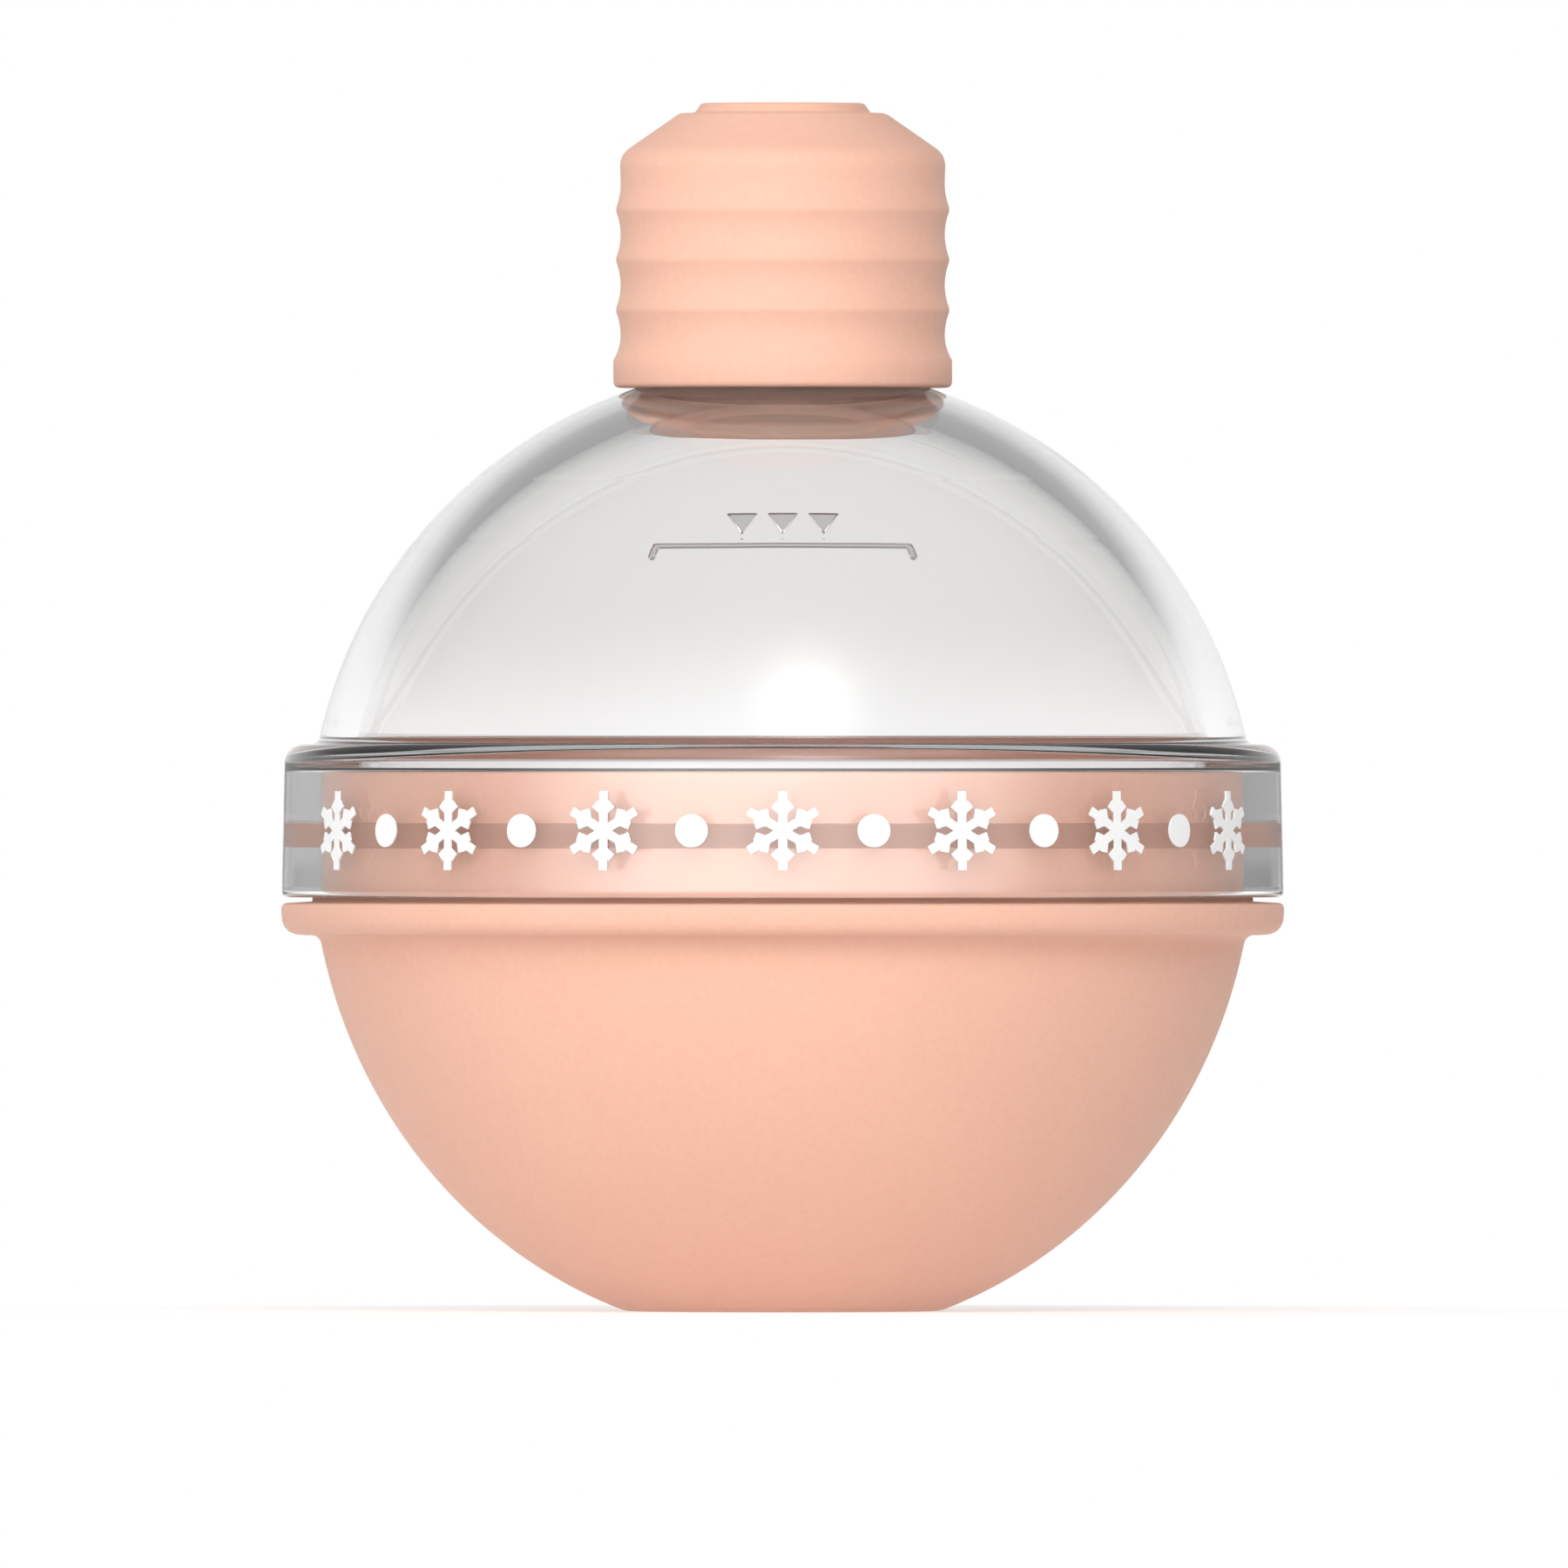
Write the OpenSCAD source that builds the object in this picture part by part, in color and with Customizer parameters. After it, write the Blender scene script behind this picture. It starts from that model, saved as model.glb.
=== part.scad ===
// Bulb-shaped mould that freezes one ball of ice.
// A silicone base and a clear dome meet around the ball, and a silicone cap plugs the dome's fill hole.
// Millimetres, +Z up, origin at the middle of the foot. The front looks along -Y.

/* [Ball] */
// Diameter of the ice ball
ball_d = 63.5; // [50:0.5:76]
// Room above the fill line, which the ice takes up as it swells
head_space = 8.6; // [6:0.1:14]

/* [Base mould] */
// Silicone under the lowest point of the ball
floor_t = 2.5; // [1.5:0.1:5]
// Silicone beside the ball at its widest level
bowl_wall = 2.5; // [1.8:0.1:3.5]
// Diameter of the flat foot
foot_d = 22.8; // [16:0.2:34]
// Thickness of the rim flange
flange_t = 2.3; // [1.6:0.1:4]
// Drop from the ball's widest level to the top of the flange
flange_drop = 4.65; // [3:0.05:7]
// Radius of the flange's lower edge
flange_round = 1.5; // [0.4:0.1:2]
// Fillet between the flange and the bowl
flange_fillet = 0.7; // [0.2:0.1:1.5]
// Rise of the land that carries the skirt above the flange
land_h = 0.45; // [0.2:0.05:1.5]
// Width of the land outside the collar
land_w = 0.8; // [0.5:0.1:2]
// Silicone of the collar beside the ball at its widest level
collar_wall = 1.6; // [1:0.1:3]
// Rise of the collar above the ball's widest level
collar_rise = 4.9; // [3:0.1:8]
// Height of the sealing bead along the collar
bead_h = 1.7; // [0.8:0.1:3]
// How far the sealing bead stands out of the collar
bead_proud = 0.2; // [0.1:0.05:0.6]
// Rise of the bead's middle above the ball's widest level
bead_rise = 0.25; // [0:0.05:1.5]

/* [Dome] */
// Thickness of the clear dome
dome_wall = 2.7; // [2:0.1:3.4]
// Thickness of the clear skirt around the collar
skirt_wall = 2.6; // [2:0.1:4]
// How much further out the skirt is at its foot
skirt_draft = 0.2; // [0:0.05:0.5]
// Plastic above the collar, up to the top of the shoulder
shoulder_t = 1.85; // [1:0.05:4]
// Radius of the shoulder's outer edge
shoulder_round = 1.4; // [0.4:0.1:2.4]
// Fillet between the shoulder and the dome
dome_fillet = 0.9; // [0.3:0.1:2]
// Diameter of the fill hole
hole_d = 19.6; // [14:0.2:22]

/* [Fill line] */
// Length of the fill line on the back of the dome
line_len = 19.8; // [10:0.2:26]
// Width of the raised strokes
line_w = 0.5; // [0.3:0.05:1]
// How far the strokes stand out of the dome
line_proud = 0.25; // [0.1:0.05:0.6]
// Length of the turned-down ends
line_end = 1; // [0.5:0.1:3]
// Number of arrowheads above the line
arrow_count = 3; // [1:1:5]
// Step from one arrowhead to the next
arrow_step = 3.2; // [2:0.1:5]
// Width of an arrowhead
arrow_w = 2.2; // [1.5:0.1:3]
// Height of an arrowhead
arrow_h = 1.6; // [1:0.1:3]
// Space between the arrowheads and the line
arrow_space = 0.8; // [0.4:0.1:2]

/* [Cap] */
// Diameter of the cap at its lowest band
cap_d = 24.6; // [23.5:0.1:30]
// Space between the cap's lower edge and the dome
cap_lift = 0.6; // [0.3:0.05:1.5]
// Height of the lowest band
band_h = 2; // [1:0.1:4]
// Diameter over the ribs
crest_d = 24.3; // [22:0.1:29]
// Depth of the grooves between the ribs
groove_depth = 0.38; // [0.1:0.02:0.8]
// Distance from rib to rib
rib_pitch = 3.65; // [2.5:0.05:5]
// Number of grooves
groove_count = 4; // [2:1:6]
// Diameter of the rim under the cone
rim_d = 23.7; // [20:0.1:28]
// Height of the rim under the cone
rim_h = 0.3; // [0.1:0.1:2]
// Height of the cone
cone_h = 3.05; // [1.5:0.05:5]
// Diameter of the cone at its top
cone_top_d = 14.9; // [13.5:0.1:18]
// Diameter of the tip at its foot
tip_d = 12.8; // [8:0.1:13.4]
// Height of the tip
tip_h = 0.72; // [0.3:0.02:2]
// How much narrower the tip is at its top, all across
tip_taper = 1; // [0:0.1:3]
// How far above the hole's inner edge the plug ends
plug_short = 0.35; // [0.3:0.05:1.5]
// Chamfer at the end of the plug
plug_chamfer = 0.2; // [0.2:0.1:1]
// Silicone wall of the hollow plug
plug_wall = 3; // [2:0.1:4]
// Silicone above the hollow, up to the top of the tip
cap_roof = 4; // [3:0.1:6]

/* [Print] */
// Height of the print on the skirt
print_h = 5.7; // [3:0.1:7]
// Thickness of the print
print_t = 0.15; // [0.05:0.05:0.4]
// Number of marks across the front
mark_count = 13; // [3:2:19]
// Turn about the axis from mark to mark, in degrees
mark_step = 10.4; // [8:0.2:20]
// Width of a snowflake's arms
arm_w = 0.65; // [0.4:0.05:1.4]
// Length of the twigs on a snowflake's arms
twig_len = 0.85; // [0.5:0.05:2]
// Place of the twigs, measured out from the middle
twig_at = 1.4; // [0.8:0.05:2.5]
// Diameter of the dots between the snowflakes
dot_d = 2.4; // [1:0.1:5]

/* [Fits] */
// Space around the sealing bead
bead_gap = 0.05; // [0.02:0.01:0.2]
// Space above the collar
collar_gap = 0.15; // [0.05:0.05:0.5]
// Space around the plug
plug_gap = 0.05; // [0.02:0.01:0.2]
// Space between the cap's underside and the dome
seat_gap = 0.1; // [0.05:0.05:0.3]
// Radius that eases the small edges
edge_ease = 0.4; // [0.1:0.05:0.6]

/* [Hidden] */
$fn = 96;

silicone = [0.97, 0.76, 0.66];
clear_plastic = [0.86, 0.88, 0.9, 0.4];
ink = [1, 1, 1];

// Straight pieces that stand for a round edge, for the bowl's curve and for a groove
arc_steps = 6;
bowl_steps = 28;
groove_steps = 8;

// The ball, and the bowl's half ellipse around it, which meets the floor at the foot's edge
ball_r = ball_d / 2;
ball_z = floor_t + ball_r;
foot_r = foot_d / 2;
bowl_half_w = ball_r + bowl_wall;
bowl_half_h = ball_z / sqrt(1 - pow(foot_r / bowl_half_w, 2));

// The base's rim, from the flange up to the collar
flange_z = ball_z - flange_drop;
flange_low_z = flange_z - flange_t;
land_z = flange_z + land_h;
collar_r = ball_r + collar_wall;
land_r = collar_r + land_w;
collar_z = ball_z + collar_rise;
bead_z = ball_z + bead_rise;
bead_arc_r = (bead_h * bead_h / 4 + bead_proud * bead_proud) / (2 * bead_proud);
bead_arc_a = asin(bead_h / 2 / bead_arc_r);

// The dome's skirt, which passes the bead and stands on the land
bore_r = collar_r + bead_proud + bead_gap;
step_z = collar_z + collar_gap;
shoulder_z = step_z + shoulder_t;
skirt_top_r = bore_r + skirt_wall;
skirt_foot_r = skirt_top_r + skirt_draft;
flange_r = skirt_foot_r;

// The dome, and the fillet that leads from the shoulder into it
dome_r = ball_r + dome_wall;
fillet_z = shoulder_z + dome_fillet;
fillet_x = sqrt(pow(dome_r + dome_fillet, 2) - pow(fillet_z - ball_z, 2));
fillet_a = atan2(fillet_z - ball_z, fillet_x);
shoulder_edge = min(shoulder_round, skirt_top_r - fillet_x);
skirt_low_z = land_z + edge_ease;
skirt_high_z = shoulder_z - shoulder_edge;
flange_edge = min(flange_round, flange_t - edge_ease);
line_z = ball_z + ball_r - head_space;

// The cap, from its lower edge up to its tip
cap_r = cap_d / 2;
cap_z = sphere_z(dome_r, cap_r) + cap_lift;
crest_r = crest_d / 2;
valley_r = crest_r - groove_depth;
rim_r = rim_d / 2;
ribs_z = cap_z + band_h;
rim_z = ribs_z + groove_count * rib_pitch;
cone_z = rim_z + rim_h;
tip_z = cone_z + cone_h;
cap_top_z = tip_z + tip_h;
tip_r = tip_d / 2;
hole_r = hole_d / 2;
plug_r = hole_r - plug_gap;
plug_z = sphere_z(ball_r, hole_r) + plug_short;
hollow_r = plug_r - plug_wall;
hollow_z = cap_top_z - cap_roof;

// The print's middle, between the skirt's foot and the shoulder's round edge
print_z = (land_z + skirt_high_z) / 2;

// Points of an arc in the plane of the profile, from angle a to angle b
function arc(x, z, r, a, b, steps = arc_steps) = [
    for (i = [0 : steps])
        let (turn = a + (b - a) * i / steps)
        [x + r * cos(turn), z + r * sin(turn)]
];

// Height of a sphere about the ball's middle, at a distance from the axis
function sphere_z(r, x) = ball_z + sqrt(r * r - x * x);

// Angle on the bowl's half ellipse, below its middle, at a height
function bowl_angle(z) = asin((ball_z - z) / bowl_half_h);

// Points of the bowl's outside, from the foot up to a height
function bowl_curve(z) = [
    for (i = [0 : bowl_steps])
        let (turn = bowl_angle(0) + (bowl_angle(z) - bowl_angle(0)) * i / bowl_steps)
        [bowl_half_w * cos(turn), ball_z - bowl_half_h * sin(turn)]
];

// Radius of the skirt's outside at a height
function skirt_r(z) =
    skirt_foot_r - (skirt_foot_r - skirt_top_r) * (z - skirt_low_z) / (skirt_high_z - skirt_low_z);

// Radius at the end of a groove: the band below the first, the rim above the last and a rib between
function groove_end_r(i) = i == 0 ? cap_r : i == groove_count ? rim_r : crest_r;

// Points of the ribs: each groove is a hollow curve between two sharp ends
function rib_curve() = [
    for (i = [0 : groove_count - 1])
        for (j = [0 : groove_steps])
            let (
                t = j / groove_steps,
                end_r = groove_end_r(t < 0.5 ? i : i + 1)
            )
            [valley_r + (end_r - valley_r) * pow(2 * t - 1, 2), ribs_z + (i + t) * rib_pitch]
];

module at_ball() {
    translate([0, 0, ball_z])
        children();
}

// Silicone base: foot, bowl, flange, land, and collar with its sealing bead
module base_mould() {
    fillet_low_z = flange_low_z - flange_fillet;
    bowl = bowl_curve(fillet_low_z);
    bowl_top_r = bowl[bowl_steps][0];
    profile = concat(
        [[0, 0]],
        bowl,
        arc(bowl_top_r + flange_fillet, fillet_low_z, flange_fillet, 180, 90),
        arc(flange_r - flange_edge, flange_low_z + flange_edge, flange_edge, -90, 0),
        arc(flange_r - edge_ease, flange_z - edge_ease, edge_ease, 0, 90),
        [[land_r, flange_z], [land_r, land_z], [collar_r, land_z]],
        arc(collar_r + bead_proud - bead_arc_r, bead_z, bead_arc_r, -bead_arc_a, bead_arc_a),
        arc(collar_r - edge_ease, collar_z - edge_ease, edge_ease, 0, 90),
        [[0, collar_z]]
    );
    color(silicone)
        difference() {
            rotate_extrude()
                polygon(profile);
            at_ball()
                sphere(ball_r);
        }
}

// Outline of the fill line, its turned-down ends and the arrowheads that point at it
module fill_line_outline() {
    end_slant = 20;
    translate([0, line_z])
        square([line_len, line_w], center = true);
    for (side = [-1, 1])
        translate([side * (line_len - line_w) / 2, line_z + line_w / 2])
            rotate(side * end_slant)
                translate([-line_w / 2, -line_end])
                    square([line_w, line_end]);
    for (i = [0 : arrow_count - 1])
        translate([(i - (arrow_count - 1) / 2) * arrow_step, line_z + arrow_space])
            polygon([[0, 0], [arrow_w / 2, arrow_h], [-arrow_w / 2, arrow_h]]);
}

// Raised strokes on the back of the dome, rooted in its wall
module fill_line() {
    reach = dome_r + line_proud;
    intersection() {
        at_ball()
            difference() {
                sphere(reach);
                sphere(dome_r - dome_wall / 2);
            }
        translate([0, reach, 0])
            rotate([90, 0, 0])
                linear_extrude(reach)
                    fill_line_outline();
    }
}

// Clear upper half: dome, shoulder, skirt, fill hole and fill line
module dome() {
    inside_r = ball_r - dome_wall;
    tangent_z = ball_z + dome_r * sin(fillet_a);
    profile = concat(
        [[inside_r, land_z]],
        arc(skirt_foot_r - edge_ease, skirt_low_z, edge_ease, -90, 0),
        arc(skirt_top_r - shoulder_edge, skirt_high_z, shoulder_edge, 0, 90),
        arc(fillet_x, fillet_z, dome_fillet, 270, 180 + fillet_a),
        [[inside_r, tangent_z]]
    );
    color(clear_plastic)
        difference() {
            union() {
                rotate_extrude()
                    polygon(profile);
                intersection() {
                    at_ball()
                        sphere(dome_r);
                    translate([0, 0, shoulder_z])
                        cylinder(r = dome_r, h = dome_r);
                }
                fill_line();
            }
            at_ball()
                sphere(ball_r);
            cylinder(r = bore_r, h = step_z);
            at_ball()
                cylinder(r = hole_r, h = 2 * dome_r);
        }
}

// Silicone stopper: ribbed body, cone and tip, and the hollow plug that fills the hole
module cap() {
    body = concat(
        [[0, cap_z]],
        arc(cap_r - edge_ease, cap_z + edge_ease, edge_ease, -90, 0),
        rib_curve(),
        [
            [rim_r, cone_z],
            [cone_top_d / 2, tip_z],
            [tip_r, tip_z],
            [tip_r - tip_taper / 2, cap_top_z],
            [0, cap_top_z]
        ]
    );
    plug = [
        [0, plug_z],
        [plug_r - plug_chamfer, plug_z],
        [plug_r, plug_z + plug_chamfer],
        [plug_r, ribs_z],
        [0, ribs_z]
    ];
    color(silicone)
        difference() {
            union() {
                difference() {
                    rotate_extrude()
                        polygon(body);
                    at_ball()
                        sphere(dome_r + seat_gap);
                }
                rotate_extrude()
                    polygon(plug);
            }
            at_ball()
                cylinder(r = hollow_r, h = hollow_z - ball_z);
        }
}

// Outline of a six-armed snowflake
module snowflake_outline() {
    twig_lean = 50;
    for (turn = [0 : 60 : 300])
        rotate(turn) {
            translate([-arm_w / 2, 0])
                square([arm_w, print_h / 2]);
            for (side = [-1, 1])
                translate([0, twig_at])
                    rotate(side * twig_lean)
                        translate([-arm_w / 2, 0])
                            square([arm_w, twig_len]);
        }
}

// Thin band that lies on the skirt, from which the marks are cut
module print_band() {
    low_z = print_z - print_h / 2;
    high_z = print_z + print_h / 2;
    rotate_extrude()
        polygon([
            [skirt_r(low_z), low_z],
            [skirt_r(low_z) + print_t, low_z],
            [skirt_r(high_z) + print_t, high_z],
            [skirt_r(high_z), high_z]
        ]);
}

// White marks across the front of the skirt: snowflakes, with a dot between each two
module skirt_print() {
    reach = skirt_foot_r + 2 * print_t;
    color(ink)
        for (i = [0 : mark_count - 1])
            intersection() {
                print_band();
                rotate([0, 0, (i - (mark_count - 1) / 2) * mark_step])
                    translate([0, 0, print_z])
                        rotate([90, 0, 0])
                            linear_extrude(reach)
                                if (i % 2 == 0)
                                    snowflake_outline();
                                else
                                    circle(d = dot_d);
            }
}

base_mould();
dome();
cap();
skirt_print();
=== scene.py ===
"""Looks of a bulb-shaped ice ball mould: silicone base, clear dome, silicone cap and white print."""

import math

import bmesh
import bpy
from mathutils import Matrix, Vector


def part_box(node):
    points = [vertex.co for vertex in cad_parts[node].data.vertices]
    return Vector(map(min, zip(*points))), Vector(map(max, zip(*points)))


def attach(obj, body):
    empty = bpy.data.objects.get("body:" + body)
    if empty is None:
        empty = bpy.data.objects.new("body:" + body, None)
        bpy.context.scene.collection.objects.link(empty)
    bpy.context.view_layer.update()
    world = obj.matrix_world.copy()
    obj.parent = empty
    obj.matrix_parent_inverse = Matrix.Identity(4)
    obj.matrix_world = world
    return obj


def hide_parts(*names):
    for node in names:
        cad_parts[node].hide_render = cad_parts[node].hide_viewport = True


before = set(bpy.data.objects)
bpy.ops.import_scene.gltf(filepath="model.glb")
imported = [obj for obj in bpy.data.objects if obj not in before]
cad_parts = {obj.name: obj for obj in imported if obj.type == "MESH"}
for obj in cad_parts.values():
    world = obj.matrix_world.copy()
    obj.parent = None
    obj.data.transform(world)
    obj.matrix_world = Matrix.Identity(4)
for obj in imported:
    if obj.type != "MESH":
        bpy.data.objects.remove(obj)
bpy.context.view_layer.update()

MM = 0.001

# Limits for joining points, for dropping faces without area and for keeping a corner sharp
JOIN = 1e-7
FLAT = 1e-8
SHARP = math.radians(40)

# How far silicone is drawn into a clear wall that it is pressed against
PRESSED = 0.02 * MM

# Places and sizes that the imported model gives
base_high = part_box("base_mould")[1]
dome_low, dome_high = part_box("dome")
cap_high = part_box("cap")[1]
print_low, print_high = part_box("skirt_print")
FLANGE_R = base_high.x
COLLAR_Z = base_high.z
LAND_Z = dome_low.z
SKIRT_FOOT_R = dome_high.x
CAP_R = cap_high.x
CAP_TOP_Z = cap_high.z
PRINT_Z = (print_low.z + print_high.z) / 2
PRINT_H = print_high.z - print_low.z

# Sizes of the ball and the silicone base
BALL_R = 31.75 * MM
BALL_Z = 34.25 * MM
FOOT_R = 11.4 * MM
FOOT_ROUND = 0.5 * MM
BOWL_HALF_W = BALL_R + 2.5 * MM
BOWL_HALF_H = BALL_Z / math.sqrt(1 - (FOOT_R / BOWL_HALF_W) ** 2)
NECK_FILLET = 0.7 * MM
FLANGE_LOW_Z = 27.3 * MM
FLANGE_LOW_ROUND = 1.55 * MM
FLANGE_Z = 29.6 * MM
FLANGE_ROUND = 0.4 * MM
FLANGE_RISE = 0.14 * MM
LAND_R = 34.15 * MM
LAND_FILLET = 0.06 * MM
LAND_ROUND = 0.1 * MM
COLLAR_R = 33.5 * MM
COLLAR_FILLET = 0.12 * MM
COLLAR_ROUND = 0.4 * MM
CAVITY_ROUND = 0.25 * MM
BEAD_Z = 34.5 * MM
BEAD_H = 1.7 * MM
BEAD_LOW_Z = BEAD_Z - BEAD_H / 2
BEAD_HIGH_Z = BEAD_Z + BEAD_H / 2

# Sizes of the clear dome
DOME_R = 34.45 * MM
BORE_R = 33.6 * MM
BORE_ROUND = 0.15 * MM
SKIRT_FOOT_ROUND = 0.45 * MM
SKIRT_LOW_R = SKIRT_FOOT_R - 0.03 * MM
SKIRT_LOW_Z = LAND_Z + 2 * MM
SKIRT_TOP_R = 36.2 * MM
STEP_Z = COLLAR_Z + 0.15 * MM
STEP_ROUND = 0.2 * MM
STEP_INNER_ROUND = 0.1 * MM
SHOULDER_Z = 41.15 * MM
SHOULDER_ROUND = 1.4 * MM
DOME_FILLET = 0.7 * MM
HOLE_R = 9.8 * MM
HOLE_ROUND = 0.3 * MM
HOLE_INNER_ROUND = 0.06 * MM

# Sizes of the fill line and of the arrowheads over it
LINE_Z = BALL_Z + BALL_R - 8.6 * MM
LINE_ABOVE_Z = SHOULDER_Z + 3 * MM
LINE_LEN = 19.8 * MM
LINE_W = 0.5 * MM
LINE_PROUD = 0.25 * MM
LINE_EASE = 0.1 * MM
LINE_END_DROP = 0.94 * MM
LINE_END_OUT = 0.34 * MM
ARROWS = 3
ARROW_STEP = 3.2 * MM
ARROW_W = 2.2 * MM
ARROW_H = 1.6 * MM
ARROW_Z = LINE_Z + 0.8 * MM

# Sizes of the cap
CAP_Z = 67.03 * MM
BAND_H = 2.0 * MM
BAND_ROUND = 0.5 * MM
CREST_R = 12.15 * MM
CREST_ROUND = 0.32 * MM
VALLEY_R = 11.77 * MM
RIM_R = 11.85 * MM
RIM_ROUND = 0.9 * MM
RIB_PITCH = 3.65 * MM
GROOVES = 4
CONE_TOP_R = 7.45 * MM
CONE_H = 3.05 * MM
CONE_ROUND = 0.3 * MM
TIP_R = 6.4 * MM
TIP_TOP_R = 5.9 * MM
TIP_H = 0.72 * MM
TIP_ROUND = 0.25 * MM
TIP_FILLET = 0.2 * MM
PLUG_R = HOLE_R + PRESSED
PLUG_Z = BALL_Z + math.sqrt(BALL_R ** 2 - HOLE_R ** 2) - 0.07 * MM
PLUG_CHAMFER = 0.04 * MM
PLUG_INNER_ROUND = 0.3 * MM
HOLLOW_R = 6.75 * MM
HOLLOW_Z = CAP_TOP_Z - 4.0 * MM
HOLLOW_ROUND = 1.5 * MM
SEAT_GAP = 0.1 * MM
SEAT_ROUND = 0.15 * MM

# Sizes of the print
MARKS = 13
MARK_TURN = math.radians(10.4)
ARM_W = 0.65 * MM
TWIG_AT = 1.4 * MM
TWIG_LEN = 0.85 * MM
DOT_R = 1.2 * MM


def arc(x, z, radius, start, end, steps):
    """Points of an arc in the profile plane, between two angles in degrees."""
    turns = [math.radians(start + (end - start) * i / steps) for i in range(steps + 1)]
    return [(x + radius * math.cos(turn), z + radius * math.sin(turn)) for turn in turns]


def walk(points, index, step, length):
    """The point at a length along the path from a corner, and the index of the next point past it."""
    here = Vector(points[index][:2])
    while True:
        index += step
        there = Vector(points[index][:2])
        span = (there - here).length
        if span >= length:
            return here.lerp(there, length / span), index
        length -= span
        here = there


def soften(path, steps=5):
    """The path with each corner that has a third number rounded off, that far along both its sides."""
    soft = []
    kept = {}
    skip_to = 0
    for i, point in enumerate(path):
        if len(point) == 3:
            corner = Vector(point[:2])
            before, last = walk(path, i, -1, point[2])
            after, skip_to = walk(path, i, 1, point[2])
            del soft[kept[last]:]
            for k in range(steps + 1):
                share = k / steps
                blend = before * (1 - share) ** 2 + corner * 2 * share * (1 - share) + after * share ** 2
                soft.append(tuple(blend))
        elif i >= skip_to:
            soft.append(point)
        kept[i] = len(soft)
    return soft


def pin(path, times=4):
    """The path with points added beside short steps, so that a side many times longer is shaded flat."""
    pinned = []
    for i, point in enumerate(path[:-1]):
        here = Vector(point[:2])
        side = Vector(path[i + 1][:2]) - here
        before = (here - Vector(path[max(i - 1, 0)][:2])).length
        ahead = min(i + 2, len(path) - 1)
        after = (Vector(path[ahead][:2]) - Vector(path[i + 1][:2])).length
        pinned.append(tuple(here))
        if side.length > times * before > 0:
            pinned.append(tuple(here + side.normalized() * before / 2))
        if side.length > times * after > 0:
            pinned.append(tuple(here + side - side.normalized() * after / 2))
    pinned.append(tuple(path[-1][:2]))
    return pinned


def smooth_object(name, bm):
    """A new smooth-shaded object from a bmesh, with its true corners kept sharp."""
    bmesh.ops.remove_doubles(bm, verts=bm.verts, dist=JOIN)
    bmesh.ops.recalc_face_normals(bm, faces=bm.faces)
    mesh = bpy.data.meshes.new(name)
    bm.to_mesh(mesh)
    bm.free()
    mesh.shade_smooth()
    mesh.set_sharp_from_angle(angle=SHARP)
    obj = bpy.data.objects.new(name, mesh)
    bpy.context.scene.collection.objects.link(obj)
    return obj


def turned(name, path, turns, closed=False, shift=None):
    """Turns a profile of (radius, height) points about the axis, through a list of angles in radians."""
    bm = bmesh.new()
    rows = []
    for radius, height in path:
        row = []
        for turn in turns:
            place = Vector((radius * math.cos(turn), radius * math.sin(turn), height))
            row.append(bm.verts.new(shift(place) if shift else place))
        rows.append(row)
    pairs = list(zip(rows, rows[1:]))
    if closed:
        pairs.append((rows[-1], rows[0]))
    count = len(turns)
    for low, high in pairs:
        for i in range(count):
            j = (i + 1) % count
            bm.faces.new((low[i], low[j], high[j], high[i]))
    bmesh.ops.remove_doubles(bm, verts=bm.verts, dist=JOIN)
    bmesh.ops.dissolve_degenerate(bm, edges=bm.edges, dist=FLAT)
    return smooth_object(name, bm)


def even_turns(count):
    """Angles about the axis, evenly apart."""
    return [2 * math.pi * i / count for i in range(count)]


def base_mould():
    """Silicone base: foot, bowl, flange, land, and collar with its sealing bead pressed flat."""
    around = 192
    bowl_steps = 60
    cavity_steps = 80
    low = math.asin(BALL_Z / BOWL_HALF_H)
    high = math.asin((BALL_Z - FLANGE_LOW_Z) / BOWL_HALF_H)
    bowl = []
    for i in range(1, bowl_steps + 1):
        turn = low + (high - low) * i / bowl_steps
        bowl.append((BOWL_HALF_W * math.cos(turn), BALL_Z - BOWL_HALF_H * math.sin(turn)))
    neck_r, neck_z = bowl.pop()
    cavity_edge = math.degrees(math.asin((COLLAR_Z - BALL_Z) / BALL_R))
    cavity = arc(0, BALL_Z, BALL_R, cavity_edge, -90, cavity_steps)
    cavity_r = cavity[0][0]
    bead_r = BORE_R + PRESSED
    bead_flank = 0.06 * MM
    bead_side = 0.5 * MM

    # In each profile a third number rounds a corner, and plain points between keep flats evenly shaded
    path = [
        (0, 0),
        (FOOT_R - 3 * MM, 0),
        (FOOT_R, 0, FOOT_ROUND),
        *bowl,
        (neck_r, neck_z, NECK_FILLET),
        (neck_r + 0.75 * MM, FLANGE_LOW_Z),
        (FLANGE_R, FLANGE_LOW_Z, FLANGE_LOW_ROUND),
        (FLANGE_R, FLANGE_Z - 0.6 * MM),
        (FLANGE_R, FLANGE_Z, FLANGE_ROUND),
        (LAND_R + 0.3 * MM, FLANGE_Z + FLANGE_RISE - 0.02 * MM),
        (LAND_R, FLANGE_Z + FLANGE_RISE, LAND_FILLET),
        (LAND_R, LAND_Z - 0.16 * MM),
        (LAND_R, LAND_Z, LAND_ROUND),
        (COLLAR_R + 0.3 * MM, LAND_Z),
        (COLLAR_R, LAND_Z, COLLAR_FILLET),
        (COLLAR_R, BEAD_LOW_Z - bead_side),
        (COLLAR_R, BEAD_LOW_Z - bead_flank),
        (bead_r, BEAD_LOW_Z),
        (bead_r, BEAD_HIGH_Z),
        (COLLAR_R, BEAD_HIGH_Z + bead_flank),
        (COLLAR_R, BEAD_HIGH_Z + bead_side),
        (COLLAR_R, COLLAR_Z, COLLAR_ROUND),
        (cavity_r + 0.7 * MM, COLLAR_Z),
        (cavity_r, COLLAR_Z, CAVITY_ROUND),
        *cavity[1:],
    ]
    return turned("silicone_base", pin(soften(path)), even_turns(around))


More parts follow.
